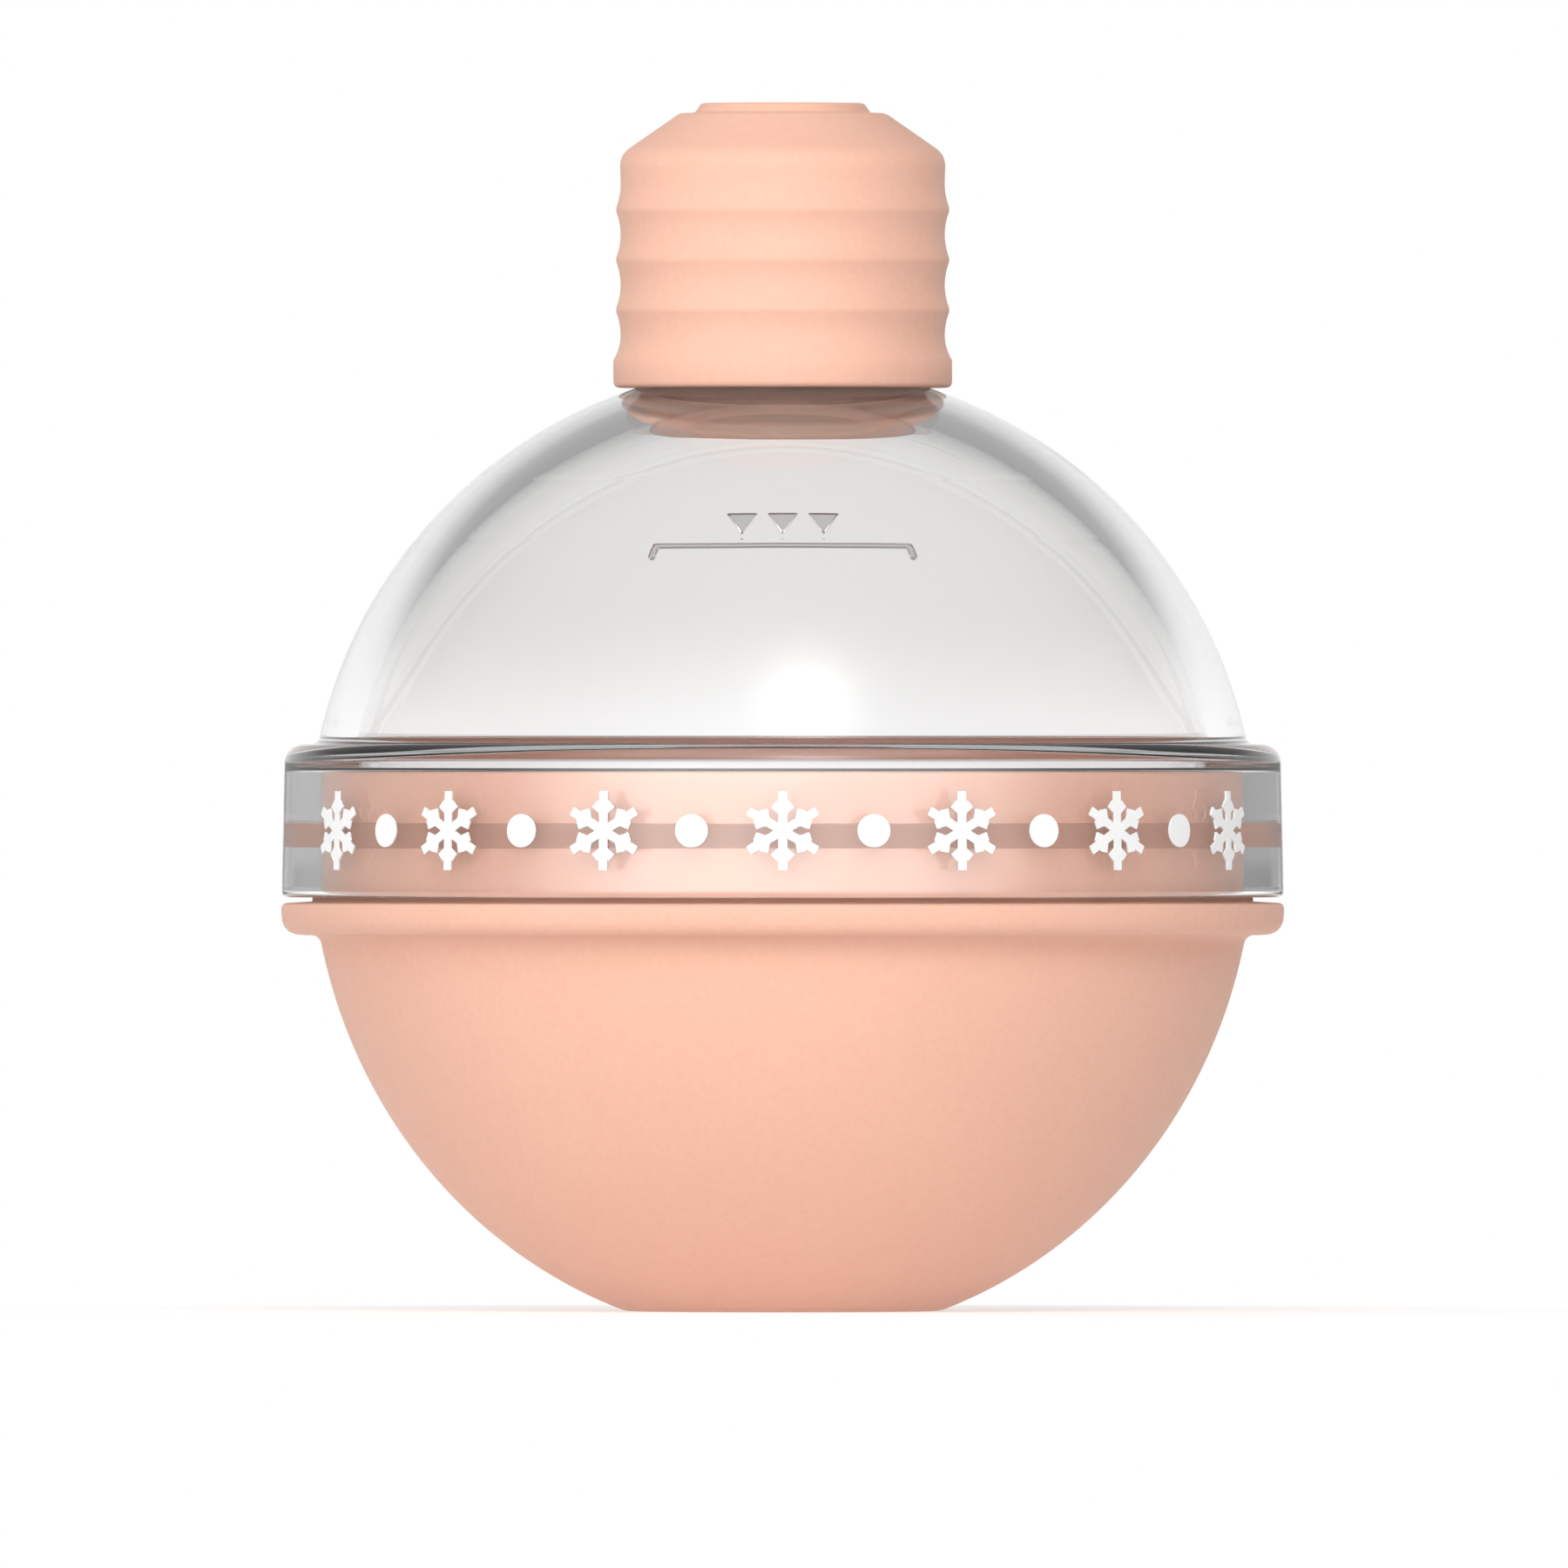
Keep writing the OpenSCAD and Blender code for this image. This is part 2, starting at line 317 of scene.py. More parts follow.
def stroke_distance(x, z, start, end):
    """Distance from a point to a straight stroke."""
    run = Vector(end) - Vector(start)
    offset = Vector((x, z)) - Vector(start)
    share = max(0.0, min(1.0, offset.dot(run) / run.length_squared))
    return (offset - run * share).length


def arrow_distance(x, z):
    """How far a point lies outside an arrowhead that points down, or inside it where negative."""
    high_z = ARROW_Z + ARROW_H
    corners = ((0, ARROW_Z), (ARROW_W / 2, high_z), (-ARROW_W / 2, high_z))
    away = min(stroke_distance(x, z, corners[k - 1], corners[k]) for k in range(3))
    inside = z < high_z and abs(x) < (z - ARROW_Z) * ARROW_W / 2 / ARROW_H
    return -away if inside else away


def fill_line_height(x, z):
    """Rise of the fill line and its arrowheads over the dome, at a place on its back."""
    half = LINE_LEN / 2
    away = stroke_distance(x, z, (-half, LINE_Z), (half, LINE_Z))
    for side in (-1, 1):
        foot = (side * (half + LINE_END_OUT), LINE_Z - LINE_END_DROP)
        away = min(away, stroke_distance(x, z, (side * half, LINE_Z), foot))
    away -= LINE_W / 2
    for i in range(ARROWS):
        middle = (i - (ARROWS - 1) / 2) * ARROW_STEP
        away = min(away, arrow_distance(x - middle, z))
    share = max(0.0, min(1.0, 0.5 - away / (2 * LINE_EASE)))
    return LINE_PROUD * share * share * (3 - 2 * share)


def raise_fill_line(place):
    """Moves a point of the dome's outside out where a stroke of the fill line passes."""
    centre = Vector((0, 0, BALL_Z))
    reach = (place - centre).length
    on_dome = place.z > LINE_ABOVE_Z and reach > DOME_R - 0.01 * MM
    if place.y > 0 and on_dome:
        return centre + (place - centre) * (1 + fill_line_height(place.x, place.z) / reach)
    return place


def dome_latitudes(start, end):
    """Angles up the dome's outside, close together at its foot and where the fill line is."""
    below_line = 1.4 * MM
    above_line = 2.9 * MM
    foot = start + math.radians(1.5)
    low = math.asin((LINE_Z - below_line - BALL_Z) / DOME_R)
    high = math.asin((LINE_Z + above_line - BALL_Z) / DOME_R)
    near = math.radians(0.25)
    coarse = math.radians(1.6)
    fine = 0.09 * MM / DOME_R
    parts = ((start, foot, near), (foot, low, coarse), (low, high, fine), (high, end, coarse))
    found = []
    for first, last, step in parts:
        count = math.ceil((last - first) / step)
        found += [first + (last - first) * i / count for i in range(count)]
    return found + [end]


def dome_turns():
    """Angles about the axis, close together behind the fill line and easing apart from there."""
    half = math.radians(26)
    back = math.pi / 2
    fine = 245
    coarse = 150
    ease = 0.8
    found = [back - half + 2 * half * i / fine for i in range(fine)]
    rest = 1 - half / math.pi
    for turn in even_turns(coarse):
        found.append(back + half + rest * (turn - ease * math.sin(turn)))
    return found


def dome():
    """Clear upper half: skirt, shoulder, dome with its fill line, and the fill hole."""
    shoulder_steps = 18
    fillet_steps = 16
    cavity_steps = 44
    fillet_z = SHOULDER_Z + DOME_FILLET
    fillet_r = math.sqrt((DOME_R + DOME_FILLET) ** 2 - (fillet_z - BALL_Z) ** 2)
    lean = math.atan2(fillet_z - BALL_Z, fillet_r)
    leans = dome_latitudes(lean, math.acos(HOLE_R / DOME_R))
    outside = [(DOME_R * math.cos(angle), BALL_Z + DOME_R * math.sin(angle)) for angle in leans]
    hole_lean = math.degrees(math.acos(HOLE_R / BALL_R))
    step_lean = math.degrees(math.asin((STEP_Z - BALL_Z) / BALL_R))
    cavity = arc(0, BALL_Z, BALL_R, hole_lean, step_lean, cavity_steps)
    round_r = SKIRT_TOP_R - SHOULDER_ROUND
    round_z = SHOULDER_Z - SHOULDER_ROUND
    path = [
        (BORE_R, LAND_Z + 3 * MM),
        (BORE_R, LAND_Z, BORE_ROUND),
        (BORE_R + 1.2 * MM, LAND_Z),
        (SKIRT_FOOT_R, LAND_Z, SKIRT_FOOT_ROUND),
        (SKIRT_LOW_R, SKIRT_LOW_Z),
        *arc(round_r, round_z, SHOULDER_ROUND, 0, 90, shoulder_steps),
        *arc(fillet_r, fillet_z, DOME_FILLET, 270, 180 + math.degrees(lean), fillet_steps)[:-1],
        *outside[:-1],
        (*outside[-1], HOLE_ROUND),
        (HOLE_R, BALL_Z + 31.5 * MM),
        (*cavity[0], HOLE_INNER_ROUND),
        *cavity[1:-1],
        (*cavity[-1], STEP_INNER_ROUND),
        (BORE_R - 1 * MM, STEP_Z),
        (BORE_R, STEP_Z, STEP_ROUND),
        (BORE_R, STEP_Z - 2 * MM),
    ]
    return turned("clear_dome", pin(soften(path)), dome_turns(), closed=True, shift=raise_fill_line)


def rib_curve():
    """Profile of the grooves: hollow curves between ribs, the band below and the rim above."""
    steps = 16
    ends = [CAP_R] + [CREST_R] * (GROOVES - 1) + [RIM_R]
    found = []
    for i in range(GROOVES):
        for j in range(steps):
            share = j / steps
            end_r = ends[i] if share < 0.5 else ends[i + 1]
            radius = VALLEY_R + (end_r - VALLEY_R) * (2 * share - 1) ** 2
            height = CAP_Z + BAND_H + (i + share) * RIB_PITCH
            on_crest = j == 0 and i > 0
            found.append((radius, height, CREST_ROUND) if on_crest else (radius, height))
    return found


def cap():
    """Silicone stopper: ribbed body, cone and tip, dished underside and hollow plug."""
    around = 160
    dish_steps = 8
    tip_z = CAP_TOP_Z - TIP_H
    rim_z = tip_z - CONE_H
    dish_r = DOME_R + SEAT_GAP
    dish_edge = math.degrees(math.acos(math.sqrt(dish_r ** 2 - (CAP_Z - BALL_Z) ** 2) / dish_r))
    dish_root = math.degrees(math.acos(PLUG_R / dish_r))
    dish = arc(0, BALL_Z, dish_r, dish_root, dish_edge, dish_steps)
    path = [
        (0, HOLLOW_Z),
        (HOLLOW_R, HOLLOW_Z, HOLLOW_ROUND),
        (HOLLOW_R, PLUG_Z + 1.5 * MM),
        (HOLLOW_R, PLUG_Z, PLUG_INNER_ROUND),
        (HOLLOW_R + 1 * MM, PLUG_Z),
        (PLUG_R - PLUG_CHAMFER, PLUG_Z, PLUG_CHAMFER / 2),
        (PLUG_R, PLUG_Z + PLUG_CHAMFER, PLUG_CHAMFER / 2),
        *dish[:-1],
        (*dish[-1], SEAT_ROUND),
        (CAP_R, CAP_Z, BAND_ROUND),
        (CAP_R, CAP_Z + 1.2 * MM),
        *rib_curve(),
        (RIM_R, rim_z, RIM_ROUND),
        (CONE_TOP_R + 1 * MM, tip_z - 0.69 * MM),
        (CONE_TOP_R, tip_z, CONE_ROUND),
        (TIP_R, tip_z, TIP_FILLET),
        (TIP_TOP_R, CAP_TOP_Z, TIP_ROUND),
        (2 * MM, CAP_TOP_Z),
        (0, CAP_TOP_Z),
    ]
    return turned("silicone_cap", pin(soften(path)), even_turns(around))


def skirt_r(z):
    """Radius of the skirt's outside at a height."""
    share = (z - SKIRT_LOW_Z) / (SHOULDER_Z - SHOULDER_ROUND - SKIRT_LOW_Z)
    return SKIRT_LOW_R + (SKIRT_TOP_R - SKIRT_LOW_R) * share


def snowflake_outline():
    """Outline of a six-armed snowflake in the plane, as corner points."""
    arms = 6
    half = ARM_W / 2
    lean = math.radians(50)
    out = Vector((math.sin(lean), math.cos(lean)))
    across = Vector((out.y, -out.x)) * half
    root = Vector((0, TWIG_AT))
    side = [
        Vector((half, half / math.tan(math.pi / arms))),
        Vector((half, TWIG_AT - half * math.tan(lean / 2))),
        root + across + out * TWIG_LEN,
        root - across + out * TWIG_LEN,
        Vector((half, TWIG_AT + half / math.tan(lean / 2))),
        Vector((half, PRINT_H / 2)),
    ]
    left = [Vector((-point.x, point.y)) for point in side[1:]]
    found = []
    for k in range(arms):
        turn = -2 * math.pi * k / arms
        for point in left + side[:0:-1] + side[:1]:
            found.append((
                point.x * math.cos(turn) - point.y * math.sin(turn),
                point.x * math.sin(turn) + point.y * math.cos(turn),
            ))
    return found


def dot_outline():
    """Outline of a round dot in the plane."""
    corners = 40
    return [(DOT_R * math.cos(turn), DOT_R * math.sin(turn)) for turn in even_turns(corners)]


def flat_mark(outline):
    """A flat mark cut into upright strips, so that it bends smoothly, and the points of its raised face."""
    strip = 0.35 * MM
    cuts = 10
    bm = bmesh.new()
    bm.faces.new([bm.verts.new((x, z, 0)) for x, z in outline])
    for k in range(-cuts, cuts + 1):
        every = bm.verts[:] + bm.edges[:] + bm.faces[:]
        bmesh.ops.bisect_plane(bm, geom=every, plane_co=(k * strip, 0, 0), plane_no=(1, 0, 0))
    raised = bmesh.ops.extrude_face_region(bm, geom=bm.faces[:], use_keep_orig=True)
    return bm, {item for item in raised["geom"] if isinstance(item, bmesh.types.BMVert)}


def skirt_print():
    """White marks across the front of the skirt: snowflakes with dots between, wrapped onto it."""
    thickness = -print_low.y - skirt_r(print_low.z)
    sunk = 0.01 * MM
    bm = bmesh.new()
    for i in range(MARKS):
        middle = (i - (MARKS - 1) / 2) * MARK_TURN
        flat, lifted = flat_mark(dot_outline() if i % 2 else snowflake_outline())
        places = {}
        for vert in flat.verts:
            z = PRINT_Z + vert.co.y
            radius = skirt_r(z) + (thickness if vert in lifted else -sunk)
            turn = middle + vert.co.x / skirt_r(z)
            places[vert] = bm.verts.new((radius * math.sin(turn), -radius * math.cos(turn), z))
        for face in flat.faces:
            bm.faces.new([places[vert] for vert in face.verts])
        flat.free()
    obj = smooth_object("white_print", bm)
    bevel = obj.modifiers.new("ease", "BEVEL")
    bevel.width = 0.04 * MM
    bevel.segments = 2
    bevel.limit_method = "ANGLE"
    bevel.angle_limit = SHARP
    return obj


class Tree:
    """A node tree, with short ways to add and link nodes."""

    def __init__(self, tree):
        self.tree = tree

    def add(self, kind, **values):
        """A new node of this kind, with these of its properties set."""
        made = self.tree.nodes.new(kind)
        for key, value in values.items():
            setattr(made, key, value)
        return made

    def put(self, socket, value):
        """Links an output to the socket, or sets the socket to a plain value."""
        if isinstance(value, bpy.types.NodeSocket):
            self.tree.links.new(value, socket)
        else:
            socket.default_value = value

    def math(self, operation, *values):
        """The result of a calculation with these numbers."""
        made = self.add("ShaderNodeMath", operation=operation)
        for socket, value in zip(made.inputs, values):
            self.put(socket, value)
        return made.outputs["Value"]

    def spread(self, source, low, high, start=0.3, end=0.7, kind="LINEAR"):
        """A number from start to end turned into one from low to high."""
        made = self.add("ShaderNodeMapRange", interpolation_type=kind)
        values = (source, start, end, low, high)
        for name, value in zip(("Value", "From Min", "From Max", "To Min", "To Max"), values):
            self.put(made.inputs[name], value)
        return made.outputs["Result"]

    def between(self, kind, factor, first, second):
        """A value between two others, where kind says whether they are numbers or colours."""
        made = self.add("ShaderNodeMix", data_type="FLOAT" if kind == "VALUE" else kind)
        self.put(made.inputs["Factor"], factor)
        for name, value in (("A", first), ("B", second)):
            found = (socket for socket in made.inputs if socket.name == name and socket.type == kind)
            self.put(next(found), value)
        return next(socket for socket in made.outputs if socket.type == kind)

    def blend(self, factor, first, second):
        """A number between two others."""
        return self.between("VALUE", factor, first, second)

    def mix(self, factor, first, second):
        """A colour between two others."""
        return self.between("RGBA", factor, first, second)

    def ray(self, name):
        """A fact about the ray that is being followed, such as its kind or its number of bounces."""
        return self.add("ShaderNodeLightPath").outputs[name]

    def rays(self, *names):
        """1 for a ray of any of these kinds, 0 for others."""
        total = self.ray(names[0])
        for name in names[1:]:
            total = self.math("MAXIMUM", total, self.ray(name))
        return total


class Look(Tree):
    """The node tree of a new material around its principled shader."""

    def __init__(self, name):
        self.material = bpy.data.materials.new(name)
        self.material.use_nodes = True
        super().__init__(self.material.node_tree)
        self.shader = self.tree.nodes["Principled BSDF"]
        self.coords = self.add("ShaderNodeTexCoord").outputs["Object"]

    def set(self, name, value):
        """Links an output to one of the shader's sockets, or sets that socket."""
        self.put(self.shader.inputs[name], value)

    def noise(self, size, detail=2.0):
        """Noise whose features are about this long, in metres."""
        made = self.add("ShaderNodeTexNoise")
        self.put(made.inputs["Scale"], 1 / size)
        self.put(made.inputs["Detail"], detail)
        self.put(made.inputs["Vector"], self.coords)
        return made.outputs["Fac"]

    def bump(self, height, depth, strength):
        """Gives the surface a relief of this depth."""
        made = self.add("ShaderNodeBump")
        self.put(made.inputs["Distance"], depth)
        self.put(made.inputs["Strength"], strength)
        self.put(made.inputs["Height"], height)
        self.set("Normal", made.outputs["Normal"])

    def place(self):
        """Distance from the axis and height, at each point of a piece at rest."""
        split = self.add("ShaderNodeSeparateXYZ")
        self.put(split.inputs["Vector"], self.coords)
        across = self.math("POWER", split.outputs["X"], 2.0)
        deep = self.math("POWER", split.outputs["Y"], 2.0)
        return self.math("SQRT", self.math("ADD", across, deep)), split.outputs["Z"]

    def reach(self, radius, height):
        """Distance from the ball's middle."""
        over = self.math("POWER", self.math("SUBTRACT", height, BALL_Z), 2.0)
        return self.math("SQRT", self.math("MULTIPLY_ADD", radius, radius, over))

    def band(self, source, low, high, fade):
        """1 where a number lies between two others, fading to 0 past them."""
        rise = self.spread(source, 0, 1, low - fade, low, "SMOOTHSTEP")
        fall = self.spread(source, 1, 0, high, high + fade, "SMOOTHSTEP")
        return self.math("MULTIPLY", rise, fall)


def painted_shade(look, radius, height):
    """Strength of the painted shade on silicone: on the pressed bead, in the crease under the skirt, and
    over the bowl's inside.
    """
    # Strengths of the painted shade on the bead, in the crease and over the bowl's inside
    bead = 0.56
    crease_shade_strength = 0.8
    bowl = 0.15
    # Painted shade on the bead where it is pressed against the clear wall, and in the crease under the
    # skirt
    pressed = look.band(height, BEAD_LOW_Z, BEAD_HIGH_Z, fade=0.1 * MM)
    pressed = look.math("MULTIPLY", pressed, bead)
    crease = look.band(height, FLANGE_Z + 0.2 * MM, LAND_Z, fade=0.08 * MM)
    crease = look.math("MULTIPLY", crease, crease_shade_strength)
    collar = look.spread(radius, 0, 1, 32.4 * MM, 32.8 * MM)
    outside = look.math("MULTIPLY", collar, look.math("MAXIMUM", pressed, crease))
    # Painted shade over the bowl's inside, on the base only
    below_cap = look.spread(height, 1, 0, 45 * MM, 50 * MM)
    hollow = look.spread(look.reach(radius, height), bowl, 0, BALL_R + 0.05 * MM, BALL_R + 0.3 * MM)
    return look.math("MAXIMUM", outside, look.math("MULTIPLY", below_cap, hollow))


def cap_painted_light_and_shade(look, radius, height):
    """Where the cap gets painted light, lighter under it and in its plug, and where it gets painted shade,
    darker on the plug's side.
    """
    # Painted light in the plug's hollow and on the dished underside
    within = look.spread(radius, 1, 0, PLUG_R - 0.2 * MM, PLUG_R - 0.1 * MM)
    hollow = look.band(height, PLUG_Z - 0.2 * MM, HOLLOW_Z - 2 * MM, fade=0.2 * MM)
    dish = look.band(height, CAP_Z - 0.1 * MM, CAP_Z + 0.4 * MM, fade=0.1 * MM)
    dish = look.math("MULTIPLY", dish, look.spread(radius, 1, 0, 11.6 * MM, 11.9 * MM))
    painted_light = look.math("MAXIMUM", dish, look.math("MULTIPLY", within, hollow))
    # Painted shade on the plug's side, from the plug's end up to the underside
    plug = look.band(radius, PLUG_R - 0.06 * MM, PLUG_R + 0.1 * MM, fade=0.06 * MM)
    plug_shade = look.math("MULTIPLY", plug, look.band(height, PLUG_Z, CAP_Z, fade=0.1 * MM))
    return painted_light, plug_shade


def silicone():
    """Matte peach silicone: soft, faintly mottled, with the fine tooth of a sandblasted mould."""
    # Colours of the painted shade on the base, of the painted light under the cap and in its plug, and of
    # the painted shade on the plug's side
    painted_shade_peach = (0.45, 0.24, 0.18, 1)
    painted_light_peach = (0.96, 0.82, 0.73, 1)
    plug_shade_peach = (0.3, 0.185, 0.15, 1)
    look = Look("peach_silicone")
    cloud = look.spread(look.noise(14 * MM), 0.0, 1.0)
    speck = look.spread(look.noise(0.5 * MM), 0.0, 1.0)
    tone = look.mix(cloud, (0.875, 0.50, 0.37, 1), (0.895, 0.515, 0.385, 1))
    light = look.mix(cloud, (0.90, 0.525, 0.395, 1), (0.92, 0.54, 0.41, 1))
    radius, height = look.place()
    # Painted light and shade over the mottled peach: shade on the base, light under the cap and in its
    # plug, shade on the plug's side
    painted_light, plug_shade = cap_painted_light_and_shade(look, radius, height)
    skin = look.mix(painted_shade(look, radius, height), look.mix(speck, tone, light), painted_shade_peach)
    skin = look.mix(painted_light, skin, painted_light_peach)
    look.set("Base Color", look.mix(plug_shade, skin, plug_shade_peach))
    look.set("Roughness", look.spread(look.noise(1.5 * MM), 0.5, 0.6))
    look.set("Subsurface Weight", 0.15)
    look.set("Subsurface Scale", 1.2 * MM)
    look.set("Subsurface Radius", (1.0, 0.55, 0.4))
    look.set("Specular IOR Level", 0.35)
    look.bump(look.noise(0.16 * MM, detail=3.0), depth=0.02 * MM, strength=0.25)
    return look.material


def clear_plastic():
    """Polished clear plastic, with a breath of haze, the slight waves of a moulded wall and painted shade
    at the shoulder.
    """
    skirt_tint = (0.99, 0.99, 0.99, 1)
    dome_tint = (0.905, 0.905, 0.90, 1)
    # Greys that paint shade into the clear wall: through the shoulder, and in a dark line along its top
    shoulder_shade_tint = (0.85, 0.85, 0.85, 1)
    ridge_shade_tint = (0.55, 0.55, 0.55, 1)
    line_tint = (0.35, 0.35, 0.35, 1)
    look = Look("clear_plastic")
    radius, height = look.place()
    tall = look.spread(height, 0, 1, 41 * MM, 52 * MM, "SMOOTHSTEP")
    # Painted shade: greyer through the shoulder, darker in a line along the shoulder's top
    shoulder = look.band(height, STEP_Z + 0.1 * MM, SHOULDER_Z, fade=0.2 * MM)
    ridge = look.band(height, SHOULDER_Z - 0.25 * MM, SHOULDER_Z + 0.35 * MM, fade=0.12 * MM)
    above = look.spread(height, 0, 1, LINE_ABOVE_Z, LINE_ABOVE_Z + 1 * MM)
    proud = look.spread(look.reach(radius, height), 0, 1, DOME_R + 0.04 * MM, DOME_R + 0.14 * MM)
    tint = look.mix(tall, skirt_tint, dome_tint)
    tint = look.mix(shoulder, tint, shoulder_shade_tint)
    tint = look.mix(ridge, tint, ridge_shade_tint)
    look.set("Base Color", look.mix(look.math("MULTIPLY", above, proud), tint, line_tint))
    look.set("IOR", 1.49)
    look.set("Transmission Weight", 1.0)
    look.set("Roughness", look.spread(look.noise(6 * MM, detail=3.0), 0.0, 0.03))
    look.bump(look.noise(9 * MM, detail=1.0), depth=0.05 * MM, strength=0.15)
    return look.material


def white_ink():
    """White screen print, thick and slightly uneven."""
    look = Look("white_ink")
    patch = look.spread(look.noise(0.7 * MM, detail=3.0), 0.0, 1.0)
    look.set("Base Color", look.mix(patch, (0.95, 0.95, 0.945, 1), (0.98, 0.98, 0.975, 1)))
    look.set("Roughness", look.spread(look.noise(0.4 * MM), 0.35, 0.5))
    look.bump(look.noise(0.12 * MM), depth=0.01 * MM, strength=0.2)
    return look.material


def dress(obj, material, body, node):
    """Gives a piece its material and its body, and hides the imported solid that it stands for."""
    obj.data.materials.append(material)
    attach(obj, body)
    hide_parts(node)


def join_shaders(nodes, kind, factor, first, second):
    """Two shaders put together in one node, by a factor where the node has one."""
    made = nodes.add(kind)
    if factor is not None:
        nodes.put(made.inputs["Fac"], factor)
    shaders = [socket for socket in made.inputs if socket.type == "SHADER"]
    nodes.put(shaders[0], first)
    nodes.put(shaders[1], second)
    return made.outputs["Shader"]


def floor_material():
    """White that keeps the shadow, fades into the background, and is clear from below."""
    grey = (0.55, 0.55, 0.55, 1)
    glow_lit = 0.34
    glow_seen = 0.56
    fade_start = 0.035
    fade_end = 0.075
    material = bpy.data.materials.new("floor_white")
    material.use_nodes = True
    nodes = Tree(material.node_tree)
    nodes.tree.nodes.clear()
    seen = nodes.rays("Is Camera Ray", "Is Glossy Ray", "Is Transmission Ray")
    matte = nodes.add("ShaderNodeBsdfDiffuse")
    nodes.put(matte.inputs["Color"], grey)
    glow = nodes.add("ShaderNodeEmission")
    nodes.put(glow.inputs["Strength"], nodes.blend(seen, glow_lit, glow_seen))
    lit = join_shaders(nodes, "ShaderNodeAddShader", None, matte.outputs["BSDF"], glow.outputs["Emission"])
    length = nodes.add("ShaderNodeVectorMath", operation="LENGTH")
    nodes.put(length.inputs[0], nodes.add("ShaderNodeTexCoord").outputs["Object"])
    far = nodes.spread(length.outputs["Value"], 0, 1, fade_start, fade_end, "SMOOTHSTEP")
    fade = nodes.math("MULTIPLY", far, seen)
    white = nodes.add("ShaderNodeEmission").outputs["Emission"]
    above = join_shaders(nodes, "ShaderNodeMixShader", fade, lit, white)
    behind = nodes.add("ShaderNodeNewGeometry").outputs["Backfacing"]
    clear = nodes.add("ShaderNodeBsdfTransparent").outputs["BSDF"]
    both = join_shaders(nodes, "ShaderNodeMixShader", behind, above, clear)
    nodes.put(nodes.add("ShaderNodeOutputMaterial").inputs["Surface"], both)
    return material


def floor():
    """White light-table floor, just under the foot."""
    half = 0.32
    bm = bmesh.new()
    bmesh.ops.create_grid(bm, x_segments=1, y_segments=1, size=half)
    obj = smooth_object("floor", bm)
    obj.data.materials.append(floor_material())
    obj.location.z = -0.01 * MM


def lamp(nodes, direction, azimuth, elevation, sharpness, level):
    """Brightness of a soft round lamp in the studio, brightest in its middle."""
    turn = math.radians(azimuth)
    rise = math.radians(elevation)
    nearness = nodes.add("ShaderNodeVectorMath", operation="DOT_PRODUCT")
    nodes.put(nearness.inputs[0], direction)
    towards = (math.sin(turn) * math.cos(rise), -math.cos(turn) * math.cos(rise), math.sin(rise))
    nodes.put(nearness.inputs[1], towards)
    facing = nodes.math("MAXIMUM", nearness.outputs["Value"], 0.0)
    return nodes.math("MULTIPLY", nodes.math("POWER", facing, sharpness), level)


def grey_room(nodes, right, up):
    """The room that gloss and clear plastic show: greys by height, and a dim card low at each side."""
    # Places from straight down at 0 to straight up at 1, and the grey at each
    stops = ((0.0, 0.8), (0.45, 1.0), (0.575, 1.0), (0.625, 0.9), (0.69, 0.45), (0.78, 0.4), (1.0, 0.8))

    greys = nodes.add("ShaderNodeValToRGB")
    elements = greys.color_ramp.elements
    while len(elements) < len(stops):
        elements.new(0.5)
    for element, (place, grey) in zip(elements, stops):
        element.position = place
        element.color = (grey, grey, grey, 1)
    nodes.put(greys.inputs["Fac"], nodes.math("MULTIPLY_ADD", up, 0.5, 0.5))
    card_drop = 0.035
    card_left = 0.395
    card_right = 0.275
    beside = nodes.spread(nodes.math("ABSOLUTE", right), 0, 1, 0.08, 0.18, "SMOOTHSTEP")
    off_card = nodes.math("ABSOLUTE", nodes.math("ADD", up, card_drop))
    level = nodes.spread(off_card, 1, 0, 0.035, 0.065, "SMOOTHSTEP")
    card = nodes.spread(right, card_left, card_right, -0.3, 0.3)
    return nodes.blend(nodes.math("MULTIPLY", beside, level), greys.outputs["Color"], card)


def front_window(nodes, back, up):
    """Brightness of a long level window at the front of the room."""
    brightness = 3.0
    front = nodes.spread(back, 1, 0, -0.9, -0.3, "SMOOTHSTEP")
    strip = nodes.spread(nodes.math("ABSOLUTE", up), 1, 0, 0.06, 0.14, "SMOOTHSTEP")
    return nodes.math("MULTIPLY", nodes.math("MULTIPLY", front, strip), brightness)


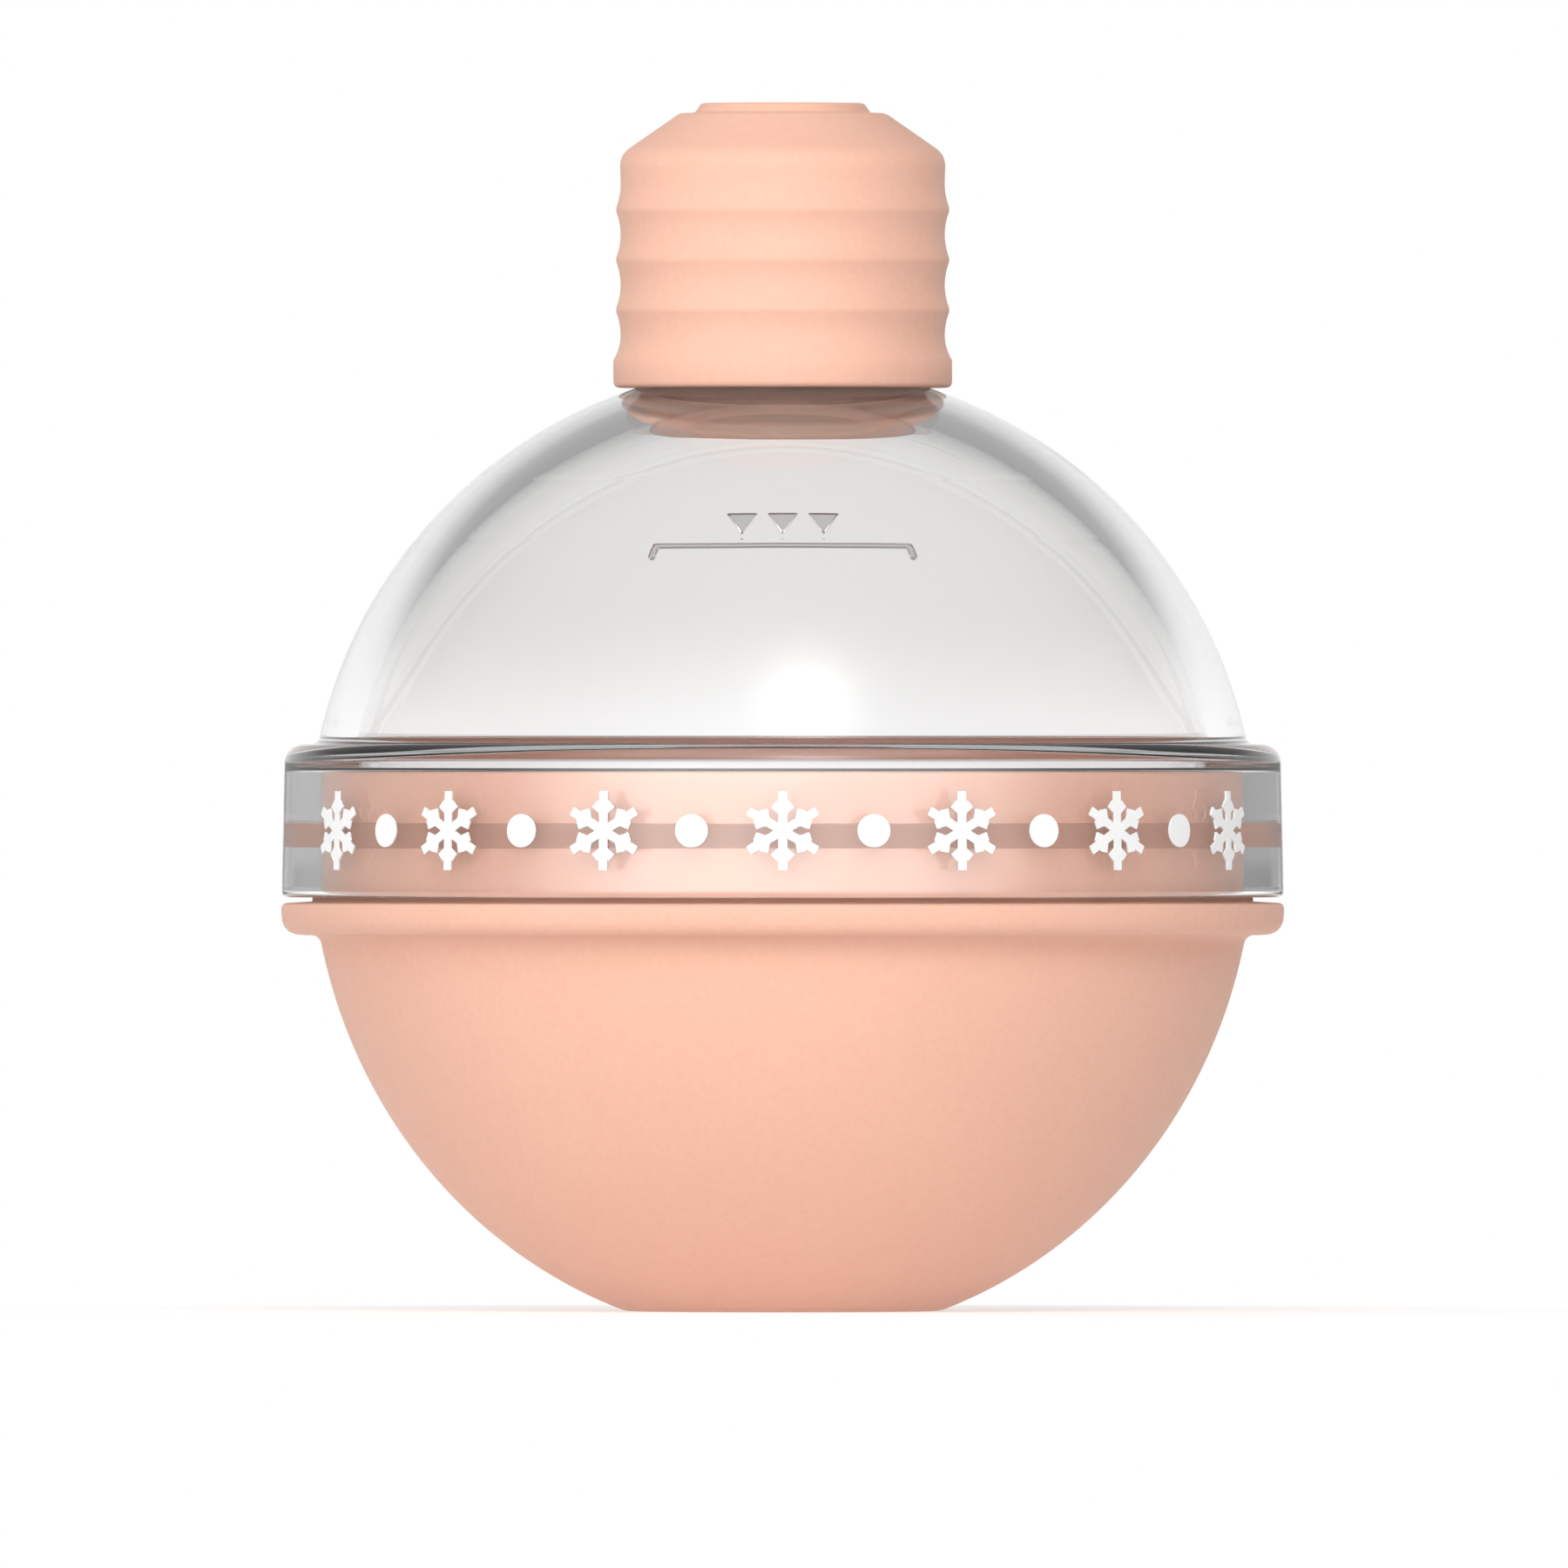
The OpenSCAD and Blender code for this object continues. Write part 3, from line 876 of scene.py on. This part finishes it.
def studio_world():
    """White studio: plain white to the camera, soft light from the left, a room of greys to gloss."""
    # Each lamp's azimuth and elevation in degrees, its sharpness and its level
    front_lamps = ((7, 35, 60, 6.0), (7, 35, 12, 1.0), (-18, 12, 6, 2.05))
    back_lamp = (180, 20, 2, 0.3)

    even_light = 0.37
    more_from_left = -0.12
    more_from_front = -0.03
    world = bpy.data.worlds.new("studio")
    bpy.context.scene.world = world
    world.use_nodes = True
    nodes = Tree(world.node_tree)
    nodes.tree.nodes.clear()
    direction = nodes.add("ShaderNodeTexCoord").outputs["Generated"]
    split = nodes.add("ShaderNodeSeparateXYZ")
    nodes.put(split.inputs["Vector"], direction)
    right = split.outputs["X"]
    back = split.outputs["Y"]
    up = split.outputs["Z"]

    # Seen through clear plastic the lamps are hidden, and so is the window where no gloss mirrors it
    unscattered = nodes.math("LESS_THAN", nodes.ray("Diffuse Depth"), 0.5)
    through = nodes.math("MULTIPLY", nodes.ray("Is Transmission Ray"), unscattered)
    straight = nodes.math("MULTIPLY", through, nodes.math("LESS_THAN", nodes.ray("Glossy Depth"), 0.5))

    soft = nodes.math("MULTIPLY_ADD", back, more_from_front, even_light)
    soft = nodes.math("MULTIPLY_ADD", right, more_from_left, soft)
    soft = nodes.math("ADD", soft, lamp(nodes, direction, *back_lamp))
    room = grey_room(nodes, right, up)
    window = front_window(nodes, back, up)
    room = nodes.math("MULTIPLY_ADD", window, nodes.math("SUBTRACT", 1, straight), room)
    lamps = 0.0
    for values in front_lamps:
        lamps = nodes.math("ADD", lamps, lamp(nodes, direction, *values))
    seen = nodes.blend(nodes.rays("Is Glossy Ray", "Is Transmission Ray"), soft, room)
    seen = nodes.math("MULTIPLY_ADD", lamps, nodes.math("SUBTRACT", 1, through), seen)
    light = nodes.add("ShaderNodeBackground")
    nodes.put(light.inputs["Color"], (1, 1, 1, 1))
    nodes.put(light.inputs["Strength"], nodes.blend(nodes.ray("Is Camera Ray"), seen, 1.0))
    nodes.put(nodes.add("ShaderNodeOutputWorld").inputs["Surface"], light.outputs["Background"])


def camera():
    """Long lens, level, straight at the front, framed as in the photograph."""
    image_side = 1800
    ball_width = 1004
    axis_x = 898.5
    foot_y = 1505
    lens = 1500
    sensor = 36
    view_depth = 50
    pixel = 2 * BALL_R / ball_width
    distance = image_side * pixel * lens / sensor
    data = bpy.data.cameras.new("camera")
    data.lens = lens
    data.sensor_width = sensor
    data.clip_end = view_depth
    obj = bpy.data.objects.new("camera", data)
    bpy.context.scene.collection.objects.link(obj)
    obj.location = ((image_side / 2 - axis_x) * pixel, -distance, (foot_y - image_side / 2) * pixel)
    obj.rotation_euler = (math.radians(90), 0, 0)
    bpy.context.scene.camera = obj


camera()
floor()
studio_world()
peach = silicone()
dress(base_mould(), peach, "base", "base_mould")
dress(dome(), clear_plastic(), "dome", "dome")
dress(cap(), peach, "cap", "cap")
dress(skirt_print(), white_ink(), "dome", "skirt_print")

scene = bpy.context.scene
scene.view_settings.view_transform = "Standard"
